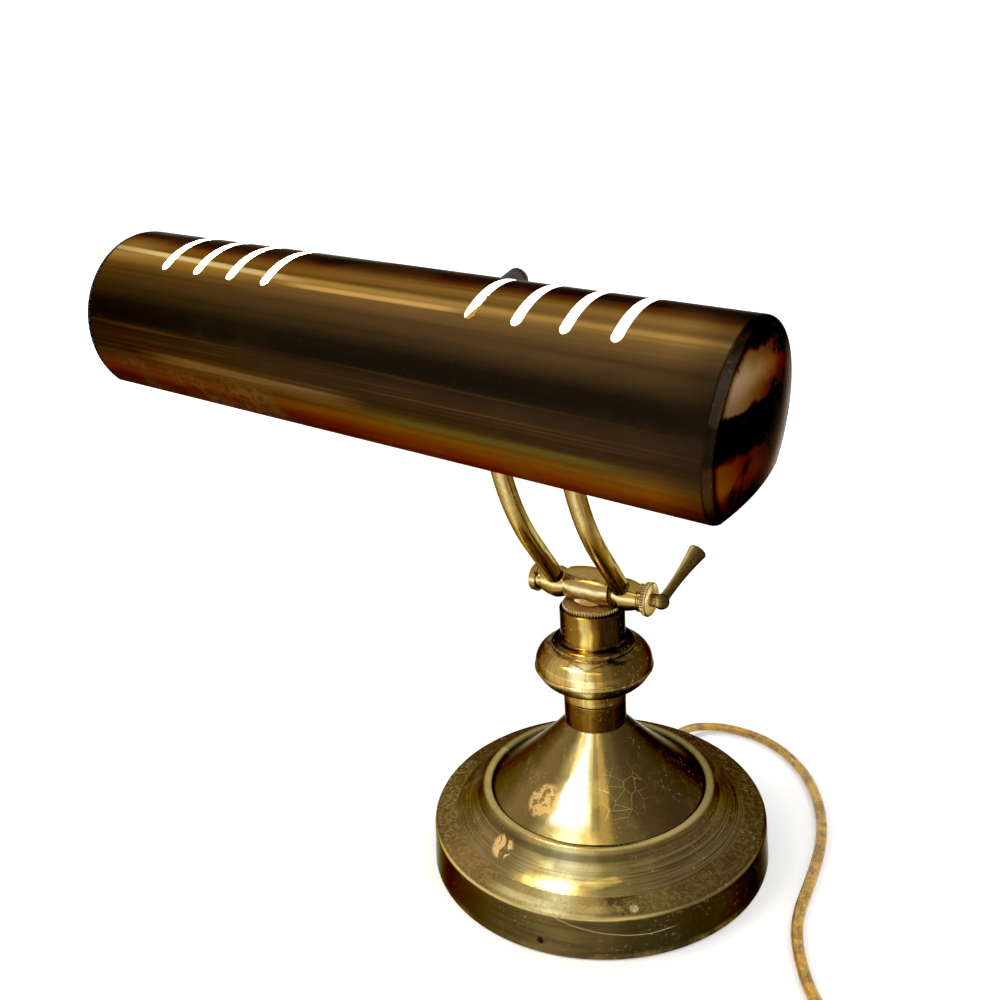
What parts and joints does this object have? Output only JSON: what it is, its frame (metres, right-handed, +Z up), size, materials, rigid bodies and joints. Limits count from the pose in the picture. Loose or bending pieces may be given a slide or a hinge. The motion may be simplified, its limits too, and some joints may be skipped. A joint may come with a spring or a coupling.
{
  "type": "piano lamp",
  "caption": "Brass piano lamp: weighted round base, turned neck, locking knuckle with a clamp lever, swan-neck arms and a slotted tubular shade over a bulb",
  "frame": {"origin": "centre of the underside of the felt, where the base rests on the table", "axes": "+X along the shade and the knuckle's pivot towards the clamp lever, -Y to the front where the shade reaches out, +Z up"},
  "size_m": [0.3695, 0.294, 0.3275],
  "materials": {
    "base_brass": "polished brass, lacquer worn and speckled with tarnish",
    "neck_brass": "polished brass, dust and tarnish in the grooves",
    "dusty_brass": "knurled brass, dull with dust",
    "knuckle_brass": "polished pale brass",
    "lever_brass": "dull worn brass",
    "arm_brass": "polished golden brass",
    "shade_brass": "polished brass darkened to bronze, tarnished; the shell is white inside",
    "iron_weight": "raw casting",
    "cover_plate": "black painted sheet",
    "felt": "green felt",
    "zinc_steel": "zinc-plated",
    "fibre_washer": "brown fibre",
    "socket_aluminium": "brassed aluminium sheet",
    "phenolic": "black phenolic",
    "bulb_metal": "bright screw base",
    "bulb_glass": "frosted glass",
    "filament": "fine wire",
    "switch_plastic": "dark brown plastic",
    "wire": "insulated lead",
    "cord_gold": "clear gold two-conductor cord",
    "plug_gold": "moulded gold plastic",
    "blade_brass": "bright blades"
  },
  "bodies": {
    "base": {"base_shell": "base_brass", "base_weight": "iron_weight", "base_cover": "cover_plate", "felt_pad": "felt", "tie_rod": "zinc_steel", "rod_washer": "zinc_steel", "rod_nut": "zinc_steel", "neck_sleeve": "neck_brass", "neck_collar": "neck_brass", "ball_lower": "neck_brass", "ball_upper": "neck_brass", "cap_collar": "neck_brass", "cord_bushing": "switch_plastic", "base_lead": "wire", "cord": "cord_gold", "cord_tail": "cord_gold", "cord_coil": "cord_gold", "plug_body": "plug_gold", "plug_blades": "blade_brass"},
    "lock_ring": {"lock_ring": "dusty_brass"},
    "swivel": {"pivot_barrel": "knuckle_brass"},
    "arms": {"friction_washers": "fibre_washer", "knuckle_left": "knuckle_brass", "knuckle_right": "knuckle_brass", "pivot_bolt": "zinc_steel", "pivot_end_cap": "knuckle_brass", "grooved_ring": "knuckle_brass", "arm_tube_left": "arm_brass", "arm_tube_right": "arm_brass", "arm_lead": "wire", "arm_ferrules": "arm_brass", "arm_nuts": "zinc_steel", "shade_bracket": "zinc_steel", "shade_shell": "shade_brass", "shade_cap_left": "shade_brass", "shade_cap_right": "shade_brass", "shade_cap_screws": "shade_brass", "socket_shell": "socket_aluminium", "socket_cap": "socket_aluminium", "socket_insert": "phenolic", "socket_nipple": "zinc_steel", "nipple_nut": "zinc_steel", "socket_lead": "wire", "bulb_base": "bulb_metal", "bulb_glass": "bulb_glass", "bulb_stem": "bulb_glass", "bulb_filament": "filament"},
    "clamp": {"clamp_nut": "dusty_brass", "lever_hub": "lever_brass", "lever_handle": "lever_brass"},
    "switch": {"switch_stem": "knuckle_brass", "switch_knob": "switch_plastic"}
  },
  "joints": [
    {"name": "lock_ring_turn", "type": "hinge", "parent": "base", "child": "lock_ring", "pos_m": [0, 0, 0.13652], "axis": [0, 0, 1], "continuous": true},
    {"name": "base_swivel", "type": "hinge", "parent": "base", "child": "swivel", "pos_m": [0, 0, 0.13894], "axis": [0, 0, 1], "range_deg": [-150, 150]},
    {"name": "arm_tilt", "type": "hinge", "parent": "swivel", "child": "arms", "pos_m": [0, 0, 0.14564], "axis": [1, 0, 0], "range_deg": [-60, 45]},
    {"name": "lever_turn", "type": "hinge", "parent": "arms", "child": "clamp", "pos_m": [0.031, 0, 0.14564], "axis": [1, 0, 0], "range_deg": [-90, 90]},
    {"name": "switch_turn", "type": "hinge", "parent": "arms", "child": "switch", "pos_m": [0.0227, -0.10225, 0.30173], "axis": [0.0285, 0.9511, 0.3077], "continuous": true}
  ]
}
